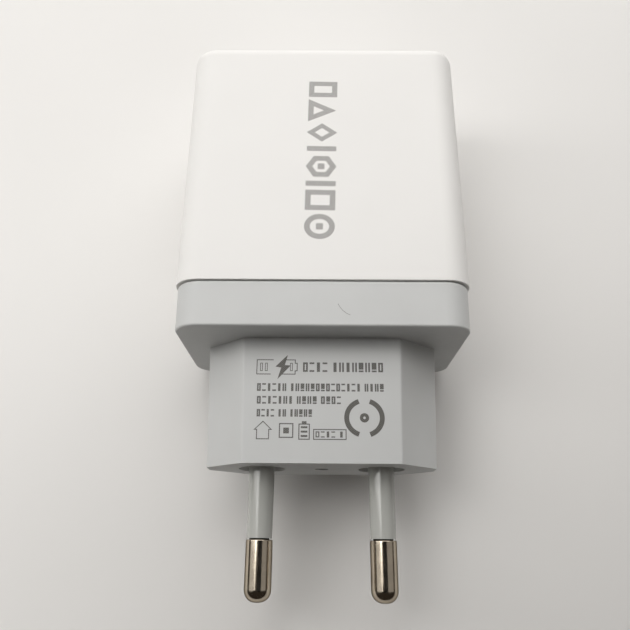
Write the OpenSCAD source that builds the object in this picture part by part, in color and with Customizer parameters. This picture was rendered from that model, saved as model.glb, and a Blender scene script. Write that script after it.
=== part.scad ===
// USB wall charger with two fixed round pins and three USB-A sockets.
// The origin is midway between the pins on the plug face. +X is to the right, +Y runs from the wall
// socket into the case and +Z comes out of the printed face. The case lies on its back face at -Z.

/* [Housing] */
// Width of the white housing
case_w = 46.1; // [46:0.1:48]
// Thickness of the white housing
case_t = 26.0; // [25.8:0.1:28]
// Length of the white housing
case_len = 45.6; // [45.6:0.05:48]
// Radius of the long edges
case_r = 4.0; // [3.6:0.1:4.4]
// Rounding round the USB end
end_r = 2.2; // [1.2:0.1:2.6]
// Wall of the housing
case_wall = 2.0; // [1.8:0.1:2.2]
// Rounding of the housing's rim at the parting line
rim_r = 0.1; // [0.1:0.05:0.4]
// Gap between the housing and the base cap
parting_gap = 0.05; // [0.05:0.05:0.3]

/* [Base cap] */
// Width of the grey band at the parting line
band_w = 45.5; // [45.1:0.1:45.7]
// Thickness of the grey band at the parting line
band_t = 25.6; // [25:0.1:25.7]
// Height of the grey band
band_h = 7.35; // [7.15:0.05:8]
// How much each side of the band leans in towards the plug
band_draft = 0.1; // [0:0.1:0.6]
// Rounding of the band's edge on the plug side
band_edge_r = 0.35; // [0.2:0.05:0.8]
// Rounding of the band's rim at the parting line
band_rim_r = 0.5; // [0.1:0.05:0.6]
// Floor plate of the cap
floor_t = 2.2; // [1.8:0.1:2.6]
// How far the lip reaches into the housing
lip_h = 3.5; // [3:0.1:4]
// Wall of the lip
lip_wall = 1.2; // [1:0.1:1.4]
// Gap all round between the lip and the housing
lip_gap = 0.2; // [0.1:0.05:0.3]

/* [Plug boss] */
// Length of the boss that enters the socket
boss_len = 19.2; // [19:0.1:21]
// Width of the boss at the plug face
boss_w = 35.4; // [35:0.1:35.5]
// Thickness of the boss at the plug face
boss_t = 13.7; // [13.5:0.1:14]
// Width of the flat on the front and back of the boss
boss_flat = 23.5; // [22:0.1:25]
// Height of the flat on each side of the boss
boss_side = 3.2; // [2.5:0.1:4]
// Rounding of the boss's long edges
boss_edge_r = 0.6; // [0.3:0.1:1]
// Growth of the boss from the plug face to its root
boss_growth = 1.042; // [1:0.002:1.05]
// Wall of the boss
boss_wall = 1.6; // [1.4:0.1:1.8]
// Thickness of the plug face
face_t = 3.0; // [2.8:0.1:3.4]

/* [Pins] */
// Distance between the pins
pin_pitch = 18.6; // [18:0.1:19.2]
// Diameter of the bare pin
pin_d = 4.0; // [3.94:0.01:4.06]
// How far the pins stand out of the plug face
pin_len = 19.0; // [18.5:0.1:19.5]
// Length of the sleeved part of the pin
sleeve_len = 10.4; // [9:0.1:11]
// Diameter of the core under the sleeve
core_d = 3.0; // [2.8:0.1:3.1]
// Diameter of the sleeve at its outer end
sleeve_tip_d = 3.8; // [3.6:0.05:3.9]
// Rounding of the pin's end
pin_end_r = 1.7; // [1.4:0.1:1.9]
// Rounding of the bare tip's shoulder
pin_edge_r = 0.15; // [0.1:0.05:0.4]
// Open seam between the sleeve and the bare tip
seam_gap = 0.2; // [0.1:0.05:0.3]
// Diameter of the recess round each pin
recess_d = 7.2; // [6.8:0.1:7.6]
// Depth of the recess round each pin
recess_h = 1.2; // [0.6:0.1:1.3]
// Diameter of the dimple in the middle of the plug face
dimple_d = 2.1; // [1.5:0.1:2.5]
// Depth of the dimple
dimple_h = 0.35; // [0.2:0.05:0.5]

/* [USB sockets] */
// Number of sockets
ports = 3; // [3:1:3]
// Distance between sockets
port_pitch = 12.5; // [12:0.1:13]
// Inside of a socket shell across its narrow way
mouth_w = 5.1; // [5.05:0.01:5.15]
// Inside of a socket shell across its long way
mouth_h = 12.5; // [12.5:0.01:12.6]
// Sheet thickness of a socket shell
shell_t = 0.3; // [0.25:0.01:0.35]
// Thickness of the tongue that carries the contacts
tongue_t = 1.84; // [1.8:0.01:1.88]
// Width of the tongue
tongue_w = 11.1; // [11:0.05:11.2]
// Width of one contact
contact_w = 0.9; // [0.8:0.05:1]
// Sheet thickness of a contact
contact_t = 0.25; // [0.2:0.01:0.3]

/* [Boards] */
// Thickness of the circuit boards
board_t = 1.6; // [1.5:0.1:1.7]
// Width of the main board
main_w = 38.0; // [37.6:0.1:38.2]
// Length of the main board
main_len = 31.6; // [31.4:0.1:31.7]
// Width of the USB board
usb_w = 40.0; // [39:0.1:40.6]
// Height of the USB board
usb_h = 20.6; // [20:0.1:21]

/* [Power parts] */
// Diameter of the input capacitors
in_cap_d = 10.0; // [9:0.5:10]
// Height of the input capacitors
in_cap_h = 15.8; // [12:0.1:16]
// Diameter of the output capacitors
out_cap_d = 8.0; // [7:0.5:8]
// Height of the output capacitors
out_cap_h = 13.5; // [11:0.5:14]
// Width of the transformer core
core_w = 17.0; // [16:0.5:17]
// Height of the transformer core
core_h = 14.2; // [13:0.1:14.5]
// Depth of the transformer core
core_depth = 5.0; // [4.5:0.1:5.5]
// Diameter of the input choke
choke_d = 8.0; // [7:0.5:8]
// Height of the input choke
choke_h = 9.5; // [8:0.5:11]

/* [Hidden] */
$fn = 64;

// Clearances: a close fit, and a cutter's overrun
fit = 0.05;
over = 0.5;

// Places along Y of the main steps of the casing
band_top = boss_len + band_h;
case_y = band_top + parting_gap;
case_end = case_y + case_len;
end_wall_y = case_end - case_wall;
floor_y = boss_len + floor_t;

// Half sizes of the housing's cavity
cavity_x = case_w / 2 - case_wall;
cavity_z = case_t / 2 - case_wall;
lip_x = cavity_x - lip_gap;
lip_z = cavity_z - lip_gap;

// Snap arms between the base cap and the housing
snap_x = 10.0;
snap_w = 6.0;
snap_len = 5.4;
snap_hook = 0.9;
snap_hook_len = 2.0;
snap_room = 0.25;

// Pin anchorage behind the plug face
hole_r = 2.2;
flange_r = 3.0;
flange_t = 1.0;
pin_flange_r = 2.6;
pin_flange_y = face_t + flange_t + 2 * fit;
retainer_y = pin_flange_y + flange_t + fit;
retainer_t = 2.0;
stub_r = 0.9;
stub_len = 3.4;
stub_y = retainer_y + retainer_t + 0.4;
screw_x = 3.4;
post_r = 2.0;
screw_r = 0.9;
screw_head_r = 1.6;
screw_head_h = 1.1;
screw_depth = 3.4;
screw_point = 0.8;
screw_end_room = 0.2;
screw_head_lift = 0.02;
screw_dome = 0.7;
driver_slot = 0.4;
sleeve_room = 0.02;

// Insulated leads: wire radius, and the [Y, Z] of the bends between a pin and the main board
lead_r = 0.75;
lead_bends = [[15.5, -0.6], [20.0, -3.0], [23.0, -4.8]];
wire_sides = 16;

// Board positions
main_y = 22.3;
main_z = -9.0;
main_top = main_z + board_t;
rail_in = 0.8;
rail_t = 1.4;
rail_y = 36.5;
usb_y = 54.3;
usb_front = usb_y + board_t;

// USB socket stations, measured from the front of the USB board
seat = 0.1;
shell_len = end_wall_y - usb_front - 2 * seat;
shell_edge_r = 0.6;
block_h = 3.6;
tongue_x = 0.06;
tongue_end = 12.1;
groove_w = 1.3;
groove_h = 1.1;
groove_end = 11.4;
contact_z = [-3.5, -1.0, 1.0, 3.5];
contact_x = 0.36;
root_r = 0.22;
hinge_h = 4.1;
tail_t = 0.4;
tail_h = 3.5;
tail_out = 0.7;
port_x = [for (i = [0 : ports - 1]) (i - (ports - 1) / 2) * port_pitch];
slot_room = 0.2;
slot_bevel = 0.4;
window_w = 1.4;
window_h = 4.6;
window_y = 6.2;
window_z = 3.4;
leaf_in = 0.3;
leaf_room = 0.2;
leaf_bend = 1.2;
leaf_end = 0.3;
leaf_edge = 0.1;
leg_w = 1.5;
leg_x = 1.3;
leg_z = mouth_h / 2 + shell_t / 2;
leg_len = 2.3;
leg_room = 0.15;
bow_x = -0.38;
bow_start = 3.2;
bow_top = 5.4;
bow_half = 0.4;
contact_reach = 7.0;
tail_hole_r = 0.45;

// Places of the main board's parts, as [X, Y]
fuse_at = [-15.0, 27.6];
bridge_at = [-7.0, 27.2];
choke_at = [2.2, 27.4];
in_cap_at = [[13.0, 28.4], [13.0, 39.5]];
transformer_at = [-6.0, 38.3];
controller_at = [5.2, 35.2];
y_cap_at = [5.2, 43.6];
opto_at = [5.2, 50.0];
diode_at = [-4.6, 47.9];
out_cap_at = [[13.6, 49.4], [-14.1, 49.2]];
header_at = [-6.25, 51.8];
header_pitch = 2.0;
header_rise = 4.2;
header_pin = 0.25;
resistor_x = -17.2;
resistor_y = [for (i = [0 : 4]) 35.5 + 2.2 * i];
header_body = [1.9, 2.4];
header_back = 1.2;
header_tip = 0.6;
charge_id_at = [8.5, 3.0];
lead_pads = [[-11.0, 24.4], [7.2, 24.0]];

// Legs that pass down through the main board
leg_r = 0.35;
stand_off = 0.1;
leg_down = 0.5;
choke_legs = 5.0;
in_cap_legs = 5.0;
out_cap_legs = 3.5;
y_cap_legs = 4.0;
bobbin_legs = 3.0;
bobbin_leg_y = 5.6;

// Fuse resistor: body, end caps, and where its leads leave and bend down
fuse_r = 1.6;
fuse_half = 3.6;
fuse_cap = 0.5;
fuse_cap_share = 0.8;
fuse_lead = 4.0;
fuse_bend = 5.2;

// Chips as [width, length, height, leads on a side, lead pitch, reach of a lead]
bridge_form = [4.8, 4.0, 2.4, 2, 2.6, 1.4];
controller_form = [4.9, 3.9, 1.45, 4, 1.27, 1.05];
opto_form = [6.4, 4.0, 3.2, 2, 2.54, 1.2];
diode_form = [3.4, 4.4, 2.1, 1, 5.4, 0.9];
charge_id_form = [2.9, 1.7, 1.1, 3, 0.95, 0.6];
chip_lead_t = 0.2;
chip_lead_in = 0.2;
chip_lead_knee = 0.35;
chip_lead_foot = 0.55;
chip_lead_slope = 0.15;
chip_lead_lift = 0.02;
chip_lead_share = 0.36;

// Choke: flange height, depth and slope of the winding's waist, and the hole in its top
choke_flange = 1.2;
choke_in = 0.5;
choke_slope = 0.3;
choke_hole_r = 1.2;
choke_hole_h = 0.6;

// Electrolytic can: foot bevel, stations and depth of the rolled groove, rim and scored cross
can_foot = 0.3;
can_groove = [1.2, 1.6, 1.9, 2.3];
can_groove_in = 0.45;
can_bevel = 0.5;
can_rim = 0.4;
can_rim_h = 0.2;
can_score = 0.3;
can_score_share = 0.6;

// Transformer: heights above the board, core legs, bobbin and winding
bobbin_base = 3.0;
core_z = bobbin_base + fit;
leg_centre = 4.6;
leg_outer = 3.0;
yoke = 2.8;
window_tall = core_h - 2 * yoke;
bobbin_reach = 12.6;
bobbin_room = 0.1;
bobbin_wall = 0.7;
bobbin_flange = 0.8;
bobbin_foot = [0.6, 0.4];
bobbin_ridge = 2.4;
bobbin_low = core_z + yoke + fit;
bobbin_tall = window_tall - 2 * fit;
winding_room = 0.3;
winding_depth = 11.6;
winding_r = 2.0;

// Disc capacitor: radius, thickness, rounded edge and height above the board
disc_r = 3.0;
disc_t = 2.4;
disc_edge = 0.5;
disc_up = 1.0;

// Small chip resistors: body, bright ends and the sunk middle
small_body = [2.0, 1.2, 0.55];
small_end = 0.35;
small_sink = 0.05;
small_lift = 0.02;

// Insulating card under the main board
card_room = 0.3;
card_lift = 0.15;
card_t = 0.3;

// Colours
white = [0.92, 0.92, 0.91];
grey = [0.69, 0.70, 0.70];
sleeve_grey = [0.54, 0.54, 0.52];
nickel = [0.72, 0.68, 0.60];
steel = [0.75, 0.76, 0.77];
gold = [0.80, 0.66, 0.35];
fibreglass = [0.18, 0.42, 0.24];
resin = [0.10, 0.10, 0.11];
tin = [0.78, 0.78, 0.76];
brown = [0.42, 0.25, 0.15];
blue = [0.20, 0.36, 0.65];
fuse_green = [0.35, 0.50, 0.42];
choke_black = [0.16, 0.16, 0.17];
can_dark = [0.12, 0.13, 0.16];
can_green = [0.20, 0.30, 0.24];
core_brown = [0.22, 0.21, 0.21];
bobbin_black = [0.12, 0.12, 0.12];
tape_yellow = [0.88, 0.74, 0.20];
disc_blue = [0.20, 0.42, 0.72];
card_cream = [0.86, 0.84, 0.76];
tongue_white = [0.93, 0.93, 0.92];

// ---- Shared shapes -------------------------------------------------------------------------

// Stands its children up along Y: their X stays X, their Y becomes Z and their Z becomes Y
module lengthwise(y) {
    translate([0, y, 0])
        mirror([0, 1, 0])
            rotate([90, 0, 0])
                children();
}

// Rectangle with round corners, centred
module rounded_rect(w, h, r) {
    square([w - 2 * r, h], center = true);
    square([w, h - 2 * r], center = true);
    for (sx = [-1, 1], sy = [-1, 1])
        translate([sx * (w / 2 - r), sy * (h / 2 - r)])
            circle(r);
}

// Block whose cross-section is a rounded rectangle and whose side follows the 2-D child,
// drawn outwards from the axis of a corner
module profiled_block(w, t, r, len) {
    cx = w / 2 - r;
    cy = t / 2 - r;
    translate([-cx, -cy, 0])
        cube([2 * cx, 2 * cy, len]);
    for (sx = [0, 1], sy = [0, 1])
        mirror([sx, 0, 0])
            mirror([0, sy, 0])
                translate([cx, cy, 0])
                    rotate_extrude(angle = 90)
                        children();
    for (side = [0, 1]) {
        mirror([side, 0, 0])
            translate([cx, 0, 0])
                rotate([90, 0, 0])
                    linear_extrude(2 * cy, center = true)
                        children();
        mirror([0, side, 0])
            translate([0, cy, 0])
                rotate([90, 0, 90])
                    linear_extrude(2 * cx, center = true)
                        children();
    }
}

// Outline of the plug boss, drawn in by an even wall
function boss_outline(inset) =
    let (
        lean = atan2(boss_t - boss_side, boss_w - boss_flat),
        w = boss_w / 2 - inset,
        t = boss_t / 2 - inset,
        flat = boss_flat / 2 - inset * tan(lean / 2),
        side = boss_side / 2 - inset * tan((90 - lean) / 2)
    )
    [[flat, t], [w, side], [w, -side], [flat, -t], [-flat, -t], [-w, -side], [-w, side], [-flat, t]];

// Wire along a list of points, with a round bend at each
module wire(points, r) {
    for (i = [1 : len(points) - 1])
        hull()
            for (p = [points[i - 1], points[i]])
                translate(p)
                    sphere(r, $fn = wire_sides);
}

// Puts its children on the main board's top face
module on_board(place) {
    translate([place[0], place[1], main_top])
        children();
}

// Round legs in a row along X, from a part down through the main board
module legs(spacing, count, r, up) {
    for (i = [0 : count - 1])
        translate([(i - (count - 1) / 2) * spacing, 0, -board_t - leg_down])
            cylinder(h = board_t + leg_down + up, r = r);
}

// Holes for such legs
module leg_holes(place, spacing, count, r) {
    on_board(place)
        for (i = [0 : count - 1])
            translate([(i - (count - 1) / 2) * spacing, 0, -board_t - over])
                cylinder(h = board_t + 2 * over, r = r + fit);
}

// ---- Casing --------------------------------------------------------------------------------

// Side of the housing, from the axis of a corner outwards
module case_profile() {
    square([case_r - end_r, case_len]);
    square([case_r - rim_r, case_len - end_r]);
    translate([0, rim_r])
        square([case_r, case_len - end_r - rim_r]);
    intersection() {
        translate([case_r - end_r, case_len - end_r])
            circle(end_r);
        square([case_r, case_len]);
    }
    translate([case_r - rim_r, rim_r])
        circle(rim_r);
}

// Slot for one socket through the end wall, with a bevelled way in
module port_slot() {
    w = mouth_w + slot_room;
    h = mouth_h + slot_room;
    translate([-w / 2, end_wall_y - over, -h / 2])
        cube([w, case_wall + 2 * over, h]);
    translate([0, case_end - slot_bevel, 0])
        slot_lead_in(w, h);
}

// Bevel round a slot's outer edge, as two wedges that cross
module slot_lead_in(w, h) {
    b = slot_bevel;
    translate([0, 0, -h / 2])
        linear_extrude(h)
            polygon([[-w / 2, 0], [w / 2, 0], [w / 2 + b, b], [w / 2 + b, b + over],
                     [-w / 2 - b, b + over], [-w / 2 - b, b]]);
    translate([-w / 2, 0, 0])
        rotate([90, 0, 90])
            linear_extrude(w)
                polygon([[0, -h / 2], [0, h / 2], [b, h / 2 + b], [b + over, h / 2 + b],
                         [b + over, -h / 2 - b], [b, -h / 2 - b]]);
}

// White housing: a deep shell with board rails, snap pockets and socket slots
module main_housing() {
    pocket_y = band_top + lip_h + snap_len - snap_hook_len - snap_room;
    rail_len = usb_y - fit - rail_y;
    color(white)
        difference() {
            union() {
                difference() {
                    lengthwise(case_y)
                        profiled_block(case_w, case_t, case_r, case_len)
                            case_profile();
                    lengthwise(case_y - over)
                        linear_extrude(case_len - case_wall + over)
                            rounded_rect(2 * cavity_x, 2 * cavity_z, case_r - case_wall);
                }
                for (side = [0, 1])
                    mirror([side, 0, 0]) {
                        translate([main_w / 2 - rail_in, rail_y, -cavity_z - fit])
                            cube([cavity_x - main_w / 2 + rail_in + fit, rail_len,
                                  main_z + cavity_z]);
                        translate([main_w / 2 - rail_in, rail_y, main_top + fit])
                            cube([cavity_x - main_w / 2 + rail_in + fit, rail_len, rail_t]);
                    }
            }
            for (x = port_x)
                translate([x, 0, 0])
                    port_slot();
            for (sx = [-1, 1], sz = [0, 1])
                mirror([0, 0, sz])
                    translate([sx * snap_x - snap_w / 2 - snap_room, pocket_y, cavity_z - over])
                        cube([snap_w + 2 * snap_room, snap_hook_len + 2 * snap_room,
                              snap_hook + snap_room - lip_gap + over]);
        }
}

// Side of the band: a leaning wall with a soft edge on the plug side and at the parting line
module band_profile() {
    low_r = case_r - band_draft;
    rim_y = band_h - band_rim_r;
    polygon([[0, 0], [low_r - band_edge_r, 0], [low_r - band_edge_r, band_edge_r],
             [low_r, band_edge_r], [case_r, rim_y], [case_r - band_rim_r, rim_y],
             [case_r - band_rim_r, band_h], [0, band_h]]);
    translate([low_r - band_edge_r, band_edge_r])
        circle(band_edge_r);
    translate([case_r - band_rim_r, rim_y])
        circle(band_rim_r);
}

// Outside of the plug boss, growing towards its root
module boss_body() {
    lengthwise(0)
        linear_extrude(boss_len + fit, scale = boss_growth)
            offset(r = boss_edge_r, $fn = 48)
                offset(delta = -boss_edge_r)
                    polygon(boss_outline(0));
}

// Arm with a hook that snaps into the housing
module snap_arm() {
    inside = lip_z - lip_wall;
    tip = band_top + lip_h + snap_len;
    catch = tip - snap_hook_len;
    translate([-snap_w / 2, 0, 0])
        rotate([90, 0, 90])
            linear_extrude(snap_w)
                polygon([[band_top, inside], [tip, inside], [tip, lip_z], [catch, lip_z + snap_hook],
                         [catch, lip_z], [band_top, lip_z]]);
}

// Grey base cap: band, plug boss, plug face, lip and snap arms in one moulding
module base_cap() {
    color(grey)
        difference() {
            union() {
                lengthwise(boss_len)
                    profiled_block(band_w, band_t, case_r, band_h)
                        band_profile();
                lengthwise(band_top - over)
                    linear_extrude(lip_h + over)
                        rounded_rect(2 * lip_x, 2 * lip_z, case_r - case_wall - lip_gap);
                boss_body();
                for (sx = [-1, 1], sz = [0, 1])
                    mirror([0, 0, sz])
                        translate([sx * snap_x, 0, 0])
                            snap_arm();
            }
            lengthwise(floor_y)
                linear_extrude(band_h + lip_h)
                    square([2 * (lip_x - lip_wall), 2 * (lip_z - lip_wall)], center = true);
            difference() {
                lengthwise(face_t)
                    linear_extrude(boss_len)
                        polygon(boss_outline(boss_wall));
                for (sx = [-1, 1])
                    translate([sx * screw_x, 0, 0])
                        lengthwise(face_t - over)
                            cylinder(h = retainer_y - fit - face_t + over, r = post_r);
            }
            for (sx = [-1, 1]) {
                translate([sx * pin_pitch / 2, 0, 0])
                    lengthwise(-over)
                        cylinder(h = face_t + 2 * over, r = hole_r);
                translate([sx * pin_pitch / 2, 0, 0])
                    lengthwise(-over)
                        cylinder(h = recess_h + over, r = recess_d / 2);
                translate([sx * screw_x, 0, 0])
                    lengthwise(retainer_y - screw_depth - fit)
                        cylinder(h = screw_depth + over, r = screw_r + fit);
            }
            lengthwise(-over)
                cylinder(h = dimple_h + over, r = dimple_d / 2);
        }
}

// ---- Plug ----------------------------------------------------------------------------------

// Contact pin: bare tip with a ball end, thinner core, anchor flange and solder stub
module pin(x) {
    r = pin_d / 2;
    bare = pin_len - sleeve_len;
    color(nickel)
        translate([x, 0, 0])
            lengthwise(0)
                rotate_extrude() {
                    translate([0, -pin_len + pin_end_r])
                        square([r, bare - pin_end_r - pin_edge_r]);
                    translate([0, -pin_len])
                        square([r - pin_end_r, bare]);
                    translate([0, -pin_len + pin_end_r])
                        square([r - pin_edge_r, bare - pin_end_r]);
                    translate([r - pin_edge_r, -sleeve_len - pin_edge_r])
                        circle(pin_edge_r);
                    intersection() {
                        translate([r - pin_end_r, -pin_len + pin_end_r])
                            circle(pin_end_r);
                        translate([0, -pin_len])
                            square([r, pin_end_r]);
                    }
                    translate([0, -sleeve_len - fit])
                        square([core_d / 2, sleeve_len + stub_y + fit]);
                    translate([0, pin_flange_y])
                        square([pin_flange_r, flange_t]);
                    translate([0, stub_y - fit])
                        square([stub_r, stub_len + fit]);
                }
}

module left_pin() {
    pin(-pin_pitch / 2);
}

module right_pin() {
    pin(pin_pitch / 2);
}

// Insulating sleeve that tapers to the tip and is anchored behind the plug face
module pin_sleeve(x) {
    bore = core_d / 2 + sleeve_room;
    end_y = -sleeve_len + seam_gap;
    back_y = face_t + fit;
    color(sleeve_grey)
        translate([x, 0, 0])
            lengthwise(0)
                rotate_extrude()
                    polygon([[bore, end_y], [sleeve_tip_d / 2, end_y], [pin_d / 2, 0],
                             [hole_r - fit, recess_h], [hole_r - fit, back_y], [flange_r, back_y],
                             [flange_r, back_y + flange_t], [bore, back_y + flange_t]]);
}

module left_pin_sleeve() {
    pin_sleeve(-pin_pitch / 2);
}

module right_pin_sleeve() {
    pin_sleeve(pin_pitch / 2);
}

// Plate that clamps both pin flanges inside the boss
module pin_retainer() {
    color(grey)
        difference() {
            lengthwise(retainer_y)
                linear_extrude(retainer_t)
                    polygon(boss_outline(boss_wall + 2 * lip_gap));
            for (sx = [-1, 1]) {
                translate([sx * pin_pitch / 2, 0, 0])
                    lengthwise(retainer_y - over)
                        cylinder(h = retainer_t + 2 * over, r = core_d / 2 + fit);
                translate([sx * screw_x, 0, 0])
                    lengthwise(retainer_y - over)
                        cylinder(h = retainer_t + 2 * over, r = screw_r + fit);
            }
        }
}

// Two small screws that hold the retainer
module retainer_screws() {
    head_y = retainer_y + retainer_t;
    end_h = -retainer_t - screw_depth + screw_end_room;
    color(steel)
        for (sx = [-1, 1])
            translate([sx * screw_x, 0, 0])
                difference() {
                    lengthwise(head_y)
                        rotate_extrude()
                            polygon([[0, end_h], [screw_r / 2, end_h], [screw_r, end_h + screw_point],
                                     [screw_r, screw_head_lift], [screw_head_r, screw_head_lift],
                                     [screw_head_r, screw_head_h / 2],
                                     [screw_head_r * screw_dome, screw_head_h], [0, screw_head_h]]);
                    for (turn = [0, 90])
                        translate([0, head_y + screw_head_h, 0])
                            rotate([0, turn, 0])
                                cube([2 * screw_r, screw_head_h, driver_slot], center = true);
                }
}

// Insulated lead from a pin's stub to its pad on the main board
module lead(x, pad, tint) {
    start = stub_y + stub_len + fit + lead_r;
    across = [x, (x + pad[0]) / 2, pad[0]];
    bends = [for (i = [0 : 2]) [across[i], lead_bends[i][0], lead_bends[i][1]]];
    color(tint)
        wire(concat([[x, start, 0]], bends, [[pad[0], pad[1], main_top + fit + lead_r]]), lead_r);
}

module live_lead() {
    lead(-pin_pitch / 2, lead_pads[0], brown);
}

module neutral_lead() {
    lead(pin_pitch / 2, lead_pads[1], blue);
}

// ---- Main board and its parts --------------------------------------------------------------

module main_board() {
    color(fibreglass)
        difference() {
            translate([-main_w / 2, main_y, main_z])
                cube([main_w, main_len, board_t]);
            for (sy = [-1, 1]) {
                leg_holes([fuse_at[0], fuse_at[1] + sy * fuse_bend], 0, 1, leg_r);
                leg_holes([transformer_at[0], transformer_at[1] + sy * bobbin_leg_y], bobbin_legs, 4,
                          leg_r);
            }
            leg_holes(choke_at, choke_legs, 2, leg_r);
            for (place = in_cap_at)
                leg_holes(place, in_cap_legs, 2, leg_r);
            for (place = out_cap_at)
                leg_holes(place, out_cap_legs, 2, leg_r);
            leg_holes(y_cap_at, y_cap_legs, 2, leg_r);
            leg_holes(header_at, header_pitch, 4, leg_r);
        }
}

// Wire-wound fuse resistor lying along Y with bent leads
module fuse_resistor() {
    axis_z = fuse_r + stand_off;
    color(fuse_green)
        on_board(fuse_at) {
            translate([0, 0, axis_z])
                rotate([90, 0, 0])
                    rotate_extrude() {
                        translate([0, -fuse_half])
                            square([fuse_r, 2 * fuse_half]);
                        for (s = [-1, 1])
                            translate([0, s * fuse_half - fuse_cap])
                                square([fuse_r * fuse_cap_share, 2 * fuse_cap]);
                    }
            for (s = [-1, 1])
                wire([[0, s * fuse_lead, axis_z], [0, s * fuse_bend, axis_z],
                      [0, s * fuse_bend, -board_t - leg_down + leg_r]], leg_r);
        }
}

// Side of a chip's lead: out of the body at half height, down, and out along the board
module chip_lead(mid, reach) {
    foot = chip_lead_lift + chip_lead_t;
    polygon([[-chip_lead_in, mid], [chip_lead_knee, mid], [chip_lead_foot, chip_lead_lift],
             [reach, chip_lead_lift], [reach, foot], [chip_lead_foot + chip_lead_slope, foot],
             [chip_lead_knee + chip_lead_slope, mid + chip_lead_t], [-chip_lead_in, mid + chip_lead_t]]);
}

// Surface-mounted chip with a row of bent leads on each side
module chip(form) {
    count = form[3];
    pitch = form[4];
    translate([-form[0] / 2, -form[1] / 2, stand_off])
        cube([form[0], form[1], form[2]]);
    for (s = [0, 1], i = [0 : count - 1])
        mirror([0, s, 0])
            translate([(i - (count - 1) / 2) * pitch, form[1] / 2, 0])
                rotate([90, 0, 90])
                    linear_extrude(pitch * chip_lead_share, center = true)
                        chip_lead(form[2] / 2, form[5]);
}

module bridge_rectifier() {
    color(resin)
        on_board(bridge_at)
            chip(bridge_form);
}

module controller_chip() {
    color(resin)
        on_board(controller_at)
            chip(controller_form);
}

module optocoupler() {
    color(resin)
        on_board(opto_at)
            chip(opto_form);
}

module output_diode() {
    color(resin)
        on_board(diode_at)
            rotate([0, 0, 90])
                chip(diode_form);
}

// Drum inductor: two flanges with the winding between them
module input_choke() {
    r = choke_d / 2;
    waist = r - choke_in;
    waist_h = choke_flange + choke_slope;
    floor_h = choke_h - choke_hole_h;
    color(choke_black)
        on_board(choke_at) {
            translate([0, 0, stand_off])
                rotate_extrude()
                    polygon([[0, 0], [r, 0], [r, choke_flange], [waist, waist_h],
                             [waist, choke_h - waist_h], [r, choke_h - choke_flange], [r, choke_h],
                             [choke_hole_r, choke_h], [choke_hole_r, floor_h], [0, floor_h]]);
            legs(choke_legs, 2, leg_r, stand_off + fit);
        }
}

// Radial electrolytic capacitor with a rolled groove and a scored top
module electrolytic(place, d, h, spacing) {
    r = d / 2;
    neck = r - can_groove_in;
    rim_in = r - can_bevel - can_rim;
    top = h - can_rim_h;
    on_board(place) {
        difference() {
            translate([0, 0, stand_off])
                rotate_extrude()
                    polygon([[0, 0], [r - can_foot, 0], [r, can_foot], [r, can_groove[0]],
                             [neck, can_groove[1]], [neck, can_groove[2]], [r, can_groove[3]],
                             [r, h - can_bevel], [r - can_bevel, h], [rim_in, h], [rim_in, top],
                             [0, top]]);
            for (turn = [0, 90])
                translate([0, 0, stand_off + top])
                    rotate([0, 0, turn])
                        cube([d * can_score_share, can_score, can_score], center = true);
        }
        legs(spacing, 2, leg_r, stand_off + fit);
    }
}

module input_capacitor_1() {
    color(can_dark)
        electrolytic(in_cap_at[0], in_cap_d, in_cap_h, in_cap_legs);
}

module input_capacitor_2() {
    color(can_dark)
        electrolytic(in_cap_at[1], in_cap_d, in_cap_h, in_cap_legs);
}

module output_capacitor_1() {
    color(can_green)
        electrolytic(out_cap_at[0], out_cap_d, out_cap_h, out_cap_legs);
}

module output_capacitor_2() {
    color(can_green)
        electrolytic(out_cap_at[1], out_cap_d, out_cap_h, out_cap_legs);
}

// Ferrite core: two E halves closed on each other
module transformer_core() {
    window_x = (core_w - leg_centre) / 2 - leg_outer;
    color(core_brown)
        on_board(transformer_at)
            translate([0, 0, core_z])
                difference() {
                    translate([-core_w / 2, -core_depth / 2, 0])
                        cube([core_w, core_depth, core_h]);
                    for (side = [0, 1])
                        mirror([side, 0, 0])
                            translate([leg_centre / 2, -core_depth / 2 - over, yoke])
                                cube([window_x, core_depth + 2 * over, window_tall]);
                }
}

// Bobbin: sleeve on the centre leg, two flanges, and a pin base under the core
module transformer_bobbin() {
    half = core_w / 2 - leg_outer - bobbin_room;
    ridge_y = (bobbin_reach - bobbin_ridge) / 2;
    color(bobbin_black)
        on_board(transformer_at) {
            difference() {
                union() {
                    translate([0, 0, bobbin_low])
                        linear_extrude(bobbin_tall)
                            square([leg_centre + 2 * bobbin_wall, core_depth + 2 * bobbin_wall],
                                   center = true);
                    for (z = [bobbin_low, bobbin_low + bobbin_tall - bobbin_flange])
                        translate([-half, -bobbin_reach / 2, z])
                            cube([2 * half, bobbin_reach, bobbin_flange]);
                }
                translate([0, 0, bobbin_low - over])
                    linear_extrude(bobbin_tall + 2 * over)
                        square([leg_centre + 2 * bobbin_room, core_depth + 2 * bobbin_room],
                               center = true);
            }
            translate([0, 0, stand_off])
                linear_extrude(bobbin_base - stand_off)
                    square([2 * (half + bobbin_foot[0]), bobbin_reach + 2 * bobbin_foot[1]],
                           center = true);
            for (sy = [-1, 1]) {
                translate([0, sy * ridge_y, bobbin_base - fit])
                    linear_extrude(bobbin_low - bobbin_base + 2 * fit)
                        square([2 * half, bobbin_ridge], center = true);
                translate([0, sy * bobbin_leg_y, 0])
                    legs(bobbin_legs, 4, leg_r, stand_off + fit);
            }
        }
}

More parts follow.
